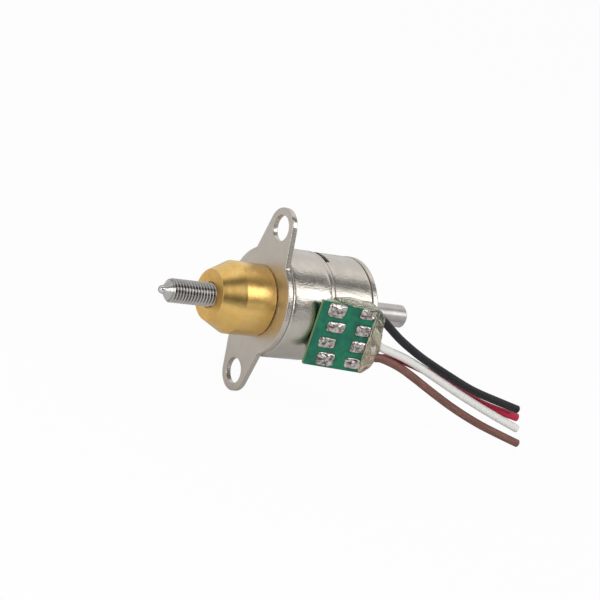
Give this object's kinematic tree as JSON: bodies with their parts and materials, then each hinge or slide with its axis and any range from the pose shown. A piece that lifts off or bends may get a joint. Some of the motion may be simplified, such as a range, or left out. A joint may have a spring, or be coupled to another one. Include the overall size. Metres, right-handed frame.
{
  "type": "stepper motor with lead screw",
  "caption": "Small tin-can stepper motor with an eared flange, a brass nose nut and a fine-pitch lead screw that the rotor turns and feeds; side circuit board with flying leads.",
  "frame": {"origin": "on the flange's front mounting face, on its long centre line, 6.8 mm from the motor's axis towards the upper fixing hole; the motor's axis is parallel to Y through x = 0, z = -6.8 mm", "axes": "+Y along the motor from the flange towards the rear cover and the screw's plain end; -Y towards the screw's tip; +Z along the flange's ears; +X towards the circuit board"},
  "size_m": [0.0224, 0.0575, 0.0266],
  "materials": {
    "nickel_plate": "dull nickel plate with fine mottling",
    "brass": "turned brass",
    "steel": "ground steel",
    "polished_steel": "polished",
    "bronze": "sintered bronze",
    "ferrite": "matt sintered",
    "copper_winding": "enamelled copper wire",
    "bobbin_plastic": "moulded",
    "terminal_plastic": "moulded",
    "washer_plastic": "moulded",
    "board": "green solder mask on glass-fibre board",
    "solder": "bright solder",
    "tinned_copper": "tinned copper",
    "insulation_black": "satin",
    "insulation_white": "satin",
    "insulation_red": "satin",
    "insulation_brown": "satin",
    "glue": "clear amber glue"
  },
  "bodies": {
    "motor": {"mounting_flange": "nickel_plate", "brass_nut": "brass", "front_can": "nickel_plate", "rear_can": "nickel_plate", "rear_cover": "nickel_plate", "inner_yoke_front": "steel", "inner_yoke_rear": "steel", "bobbin_front": "bobbin_plastic", "bobbin_rear": "bobbin_plastic", "coil_front": "copper_winding", "coil_rear": "copper_winding", "front_bush": "bronze", "rear_bush": "bronze", "front_thrust_washer": "washer_plastic", "rear_thrust_washer": "washer_plastic", "wave_spring": "steel", "terminal_block": "terminal_plastic", "terminal_pin_1": "tinned_copper", "terminal_pin_2": "tinned_copper", "terminal_pin_3": "tinned_copper", "terminal_pin_4": "tinned_copper", "circuit_board": "board", "solder_joint_1": "solder", "solder_joint_2": "solder", "solder_joint_3": "solder", "solder_joint_4": "solder", "solder_joint_5": "solder", "solder_joint_6": "solder", "solder_joint_7": "solder", "solder_joint_8": "solder", "glue_bead": "glue", "wire_black_insulation": "insulation_black", "wire_black_core": "tinned_copper", "wire_white_insulation": "insulation_white", "wire_white_core": "tinned_copper", "wire_red_insulation": "insulation_red", "wire_red_core": "tinned_copper", "wire_brown_insulation": "insulation_brown", "wire_brown_core": "tinned_copper"},
    "rotor": {"rotor_hub": "brass", "rotor_magnet": "ferrite"},
    "screw": {"lead_screw": "steel", "tip_ball": "polished_steel"}
  },
  "joints": [
    {"name": "rotor_spin", "type": "hinge", "parent": "motor", "child": "rotor", "pos_m": [0, 0, -0.0068], "axis": [0, 1, 0], "range_deg": [-3530, 3530]},
    {"name": "screw_feed", "type": "slide", "parent": "rotor", "child": "screw", "axis": [0, 1, 0], "range_m": [-0.0044, 0.0044]}
  ],
  "couplings": [
    {"joint": "rotor_spin", "follows": "screw_feed", "rad_per_m": 13963}
  ]
}
